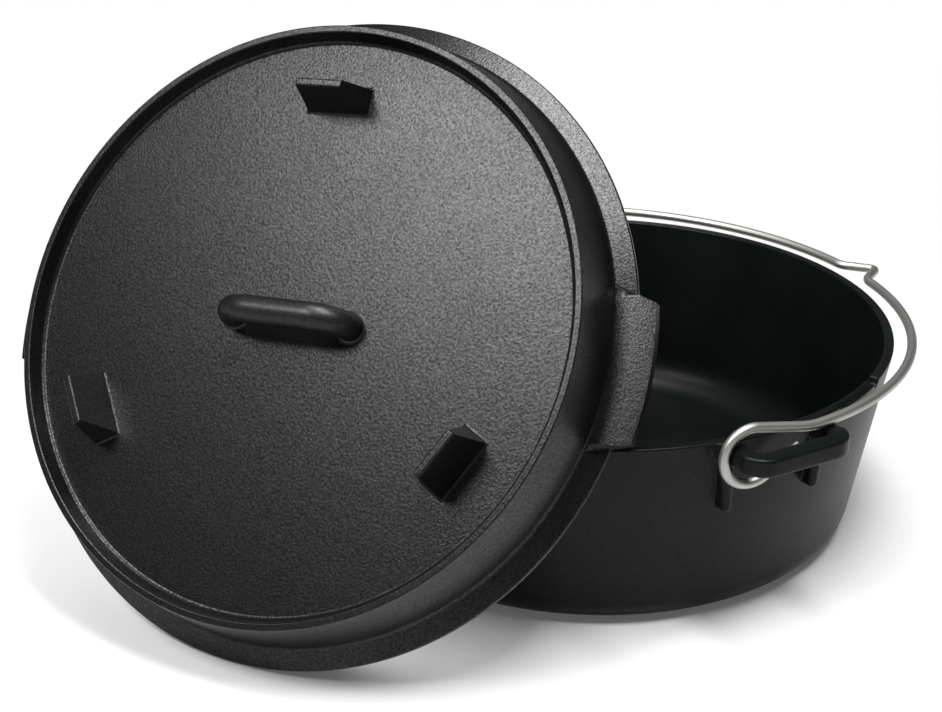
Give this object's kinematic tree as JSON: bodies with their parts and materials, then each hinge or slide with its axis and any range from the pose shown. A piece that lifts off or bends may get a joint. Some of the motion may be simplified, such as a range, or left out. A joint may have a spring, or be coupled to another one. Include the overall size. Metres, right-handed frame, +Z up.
{
  "type": "camp dutch oven",
  "caption": "Shallow cast-iron camp oven with loop ears, a folding wire bail and a footed coal-tray lid that stands on the floor and leans against the pot.",
  "frame": {"origin": "middle of the pot's flat bottom, on the floor", "axes": "+Z up along the pot's axis, -Y towards the front ear, +X towards the folded bail, the lid leans on the -X side"},
  "size_m": [0.4644, 0.3546, 0.2631],
  "materials": {
    "pot_iron": "seasoned black, satin",
    "lid_iron": "seasoned black, fine casting grain",
    "bail_steel": "drawn stainless wire"
  },
  "bodies": {
    "pot": {"pot_floor": "pot_iron", "pot_corner": "pot_iron", "pot_wall": "pot_iron", "front_ear": "pot_iron", "rear_ear": "pot_iron"},
    "lid": {"lid_plate": "lid_iron", "coal_ring": "lid_iron", "lid_flange": "lid_iron", "lid_skirt": "lid_iron", "lid_handle": "lid_iron", "lid_foot_1": "lid_iron", "lid_foot_2": "lid_iron", "lid_foot_3": "lid_iron", "lid_tab_right": "lid_iron", "lid_tab_left": "lid_iron"},
    "bail": {"bail": "bail_steel"}
  },
  "joints": [
    {"name": "lid_lift", "type": "slide", "parent": "pot", "child": "lid", "axis": [0, 0, 1], "range_m": [0, 0.3]},
    {"name": "bail_swing", "type": "hinge", "parent": "pot", "child": "bail", "pos_m": [0, 0, 0.0961], "axis": [-0.1158, -0.9933, 0], "range_deg": [0, 100]}
  ]
}
